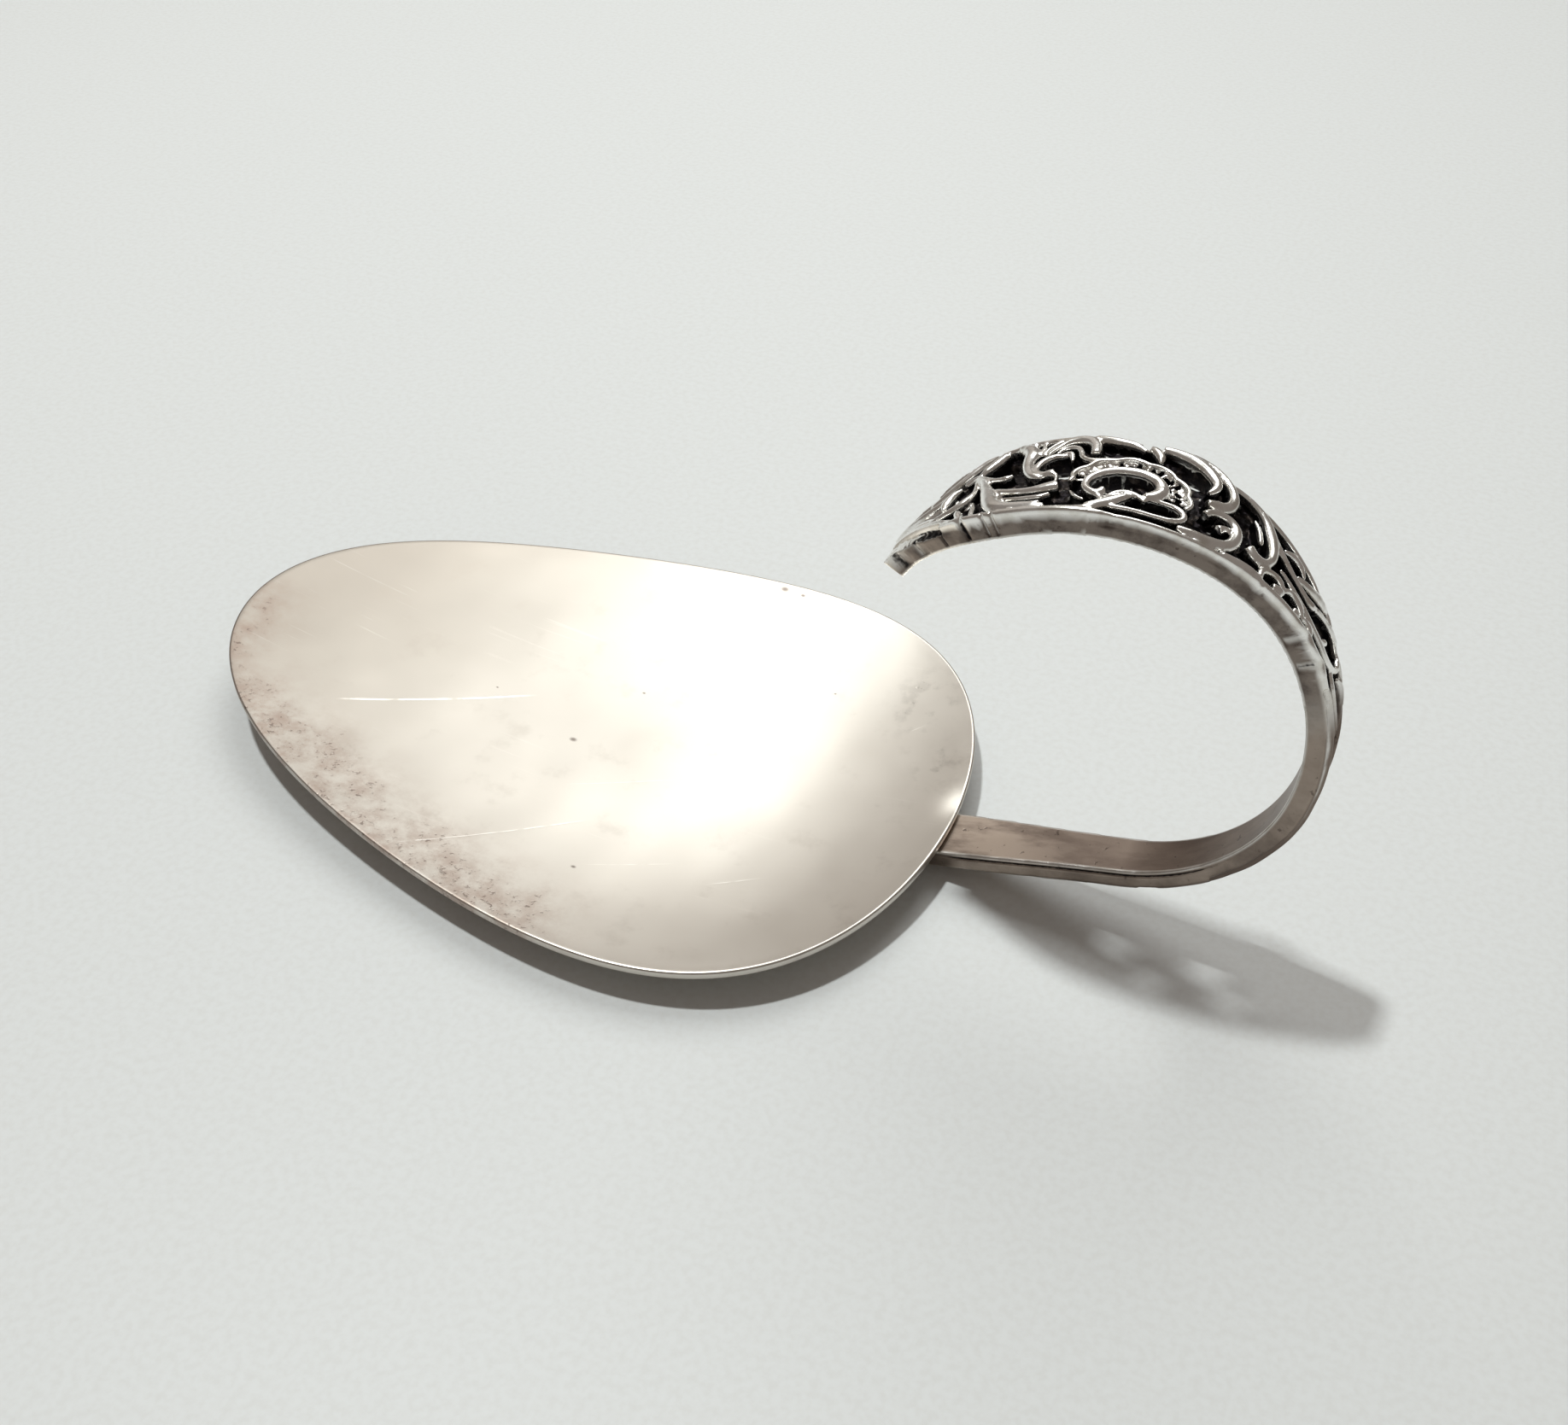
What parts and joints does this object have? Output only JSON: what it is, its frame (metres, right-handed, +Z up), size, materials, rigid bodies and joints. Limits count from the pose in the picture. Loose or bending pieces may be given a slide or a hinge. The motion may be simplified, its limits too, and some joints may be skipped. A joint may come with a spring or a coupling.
{
  "type": "souvenir spoon",
  "caption": "Hand-made silver spoon with a shallow egg-shaped bowl and a short handle that curls up and back over it into a pierced scroll-work head.",
  "frame": {"origin": "middle of the small flat under the bowl that the spoon rests on, at floor height", "axes": "+X along the spoon towards the handle, +Z up, +Y across the bowl; the handle lies in the plane y = 0"},
  "size_m": [0.0834, 0.0426, 0.0353],
  "materials": {
    "bowl_silver": "satin worn silver, lightly tarnished",
    "handle_silver": "cast silver, oxidised black in the recesses and polished on the high spots",
    "solder": "dull silver solder"
  },
  "bodies": {
    "root": {"bowl": "bowl_silver", "handle": "handle_silver", "solder_seam": "solder"}
  },
  "joints": []
}
